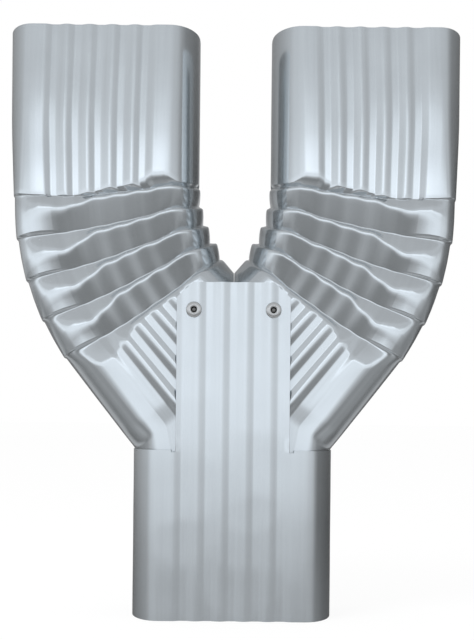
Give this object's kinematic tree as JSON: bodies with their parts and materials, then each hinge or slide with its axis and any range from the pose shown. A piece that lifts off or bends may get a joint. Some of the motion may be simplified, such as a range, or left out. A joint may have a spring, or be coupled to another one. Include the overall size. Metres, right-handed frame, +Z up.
{
  "type": "downpipe branch",
  "caption": "Two crimped downpipe elbows joined side by side into one straight corrugated outlet, riveted through its tongues; merges two downpipes into one.",
  "frame": {"origin": "middle of the outlet rim, on the plane it stands on", "axes": "+Z up along the outlet pipe to the two inlets, +X across the two legs, -Y the front with its tongue and rivets"},
  "size_m": [0.1868, 0.0594, 0.24],
  "materials": {
    "coated_sheet": "satin silver coat on thin sheet",
    "rivet_aluminium": "plain, lightly domed head",
    "mandrel_steel": "dull broken stem"
  },
  "bodies": {
    "root": {"outlet_pipe": "coated_sheet", "left_elbow": "coated_sheet", "right_elbow": "coated_sheet", "front_left_rivet": "rivet_aluminium", "front_right_rivet": "rivet_aluminium", "rear_left_rivet": "rivet_aluminium", "rear_right_rivet": "rivet_aluminium", "front_left_mandrel": "mandrel_steel", "front_right_mandrel": "mandrel_steel", "rear_left_mandrel": "mandrel_steel", "rear_right_mandrel": "mandrel_steel"}
  },
  "joints": []
}
